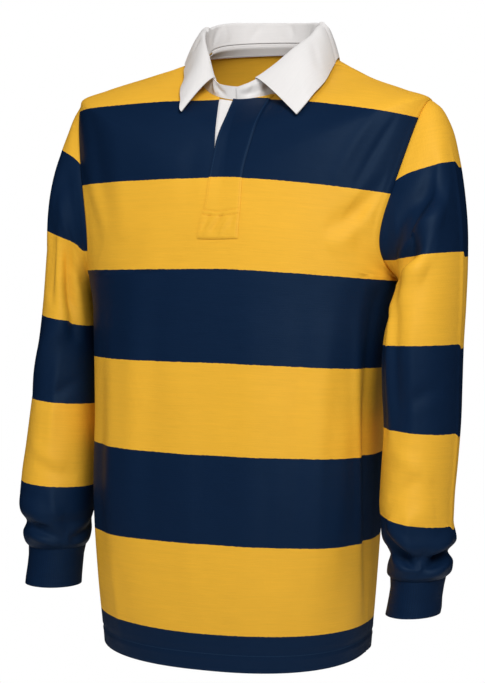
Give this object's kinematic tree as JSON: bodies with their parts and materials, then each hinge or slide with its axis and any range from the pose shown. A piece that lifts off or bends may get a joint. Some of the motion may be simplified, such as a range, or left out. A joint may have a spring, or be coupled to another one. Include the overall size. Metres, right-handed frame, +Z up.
{
  "type": "sports jersey",
  "caption": "Long-sleeved rugby-style jersey with broad gold and navy hoops, a white turned-down collar, a short front placket and ribbed cuffs, hollow and filled out as if worn.",
  "frame": {"origin": "middle of the neck base, level with the tops of the shoulder seams", "axes": "+Z up through the neck, the chest faces -Y, +X towards the wearer's left"},
  "size_m": [0.5949, 0.318, 0.8227],
  "materials": {
    "hooped_jersey": "matt heavy cotton jersey",
    "navy_jersey": "matt heavy cotton jersey",
    "navy_rib": "matt cotton rib",
    "white_twill": "matt cotton twill"
  },
  "bodies": {
    "root": {"front_panel": "hooped_jersey", "back_panel": "hooped_jersey", "sleeve_left": "hooped_jersey", "sleeve_right": "hooped_jersey", "cuff_left": "navy_rib", "cuff_right": "navy_rib", "collar_stand": "white_twill", "collar_leaf": "white_twill", "neck_tape": "white_twill", "placket_upper": "navy_jersey", "placket_under": "white_twill"}
  },
  "joints": []
}
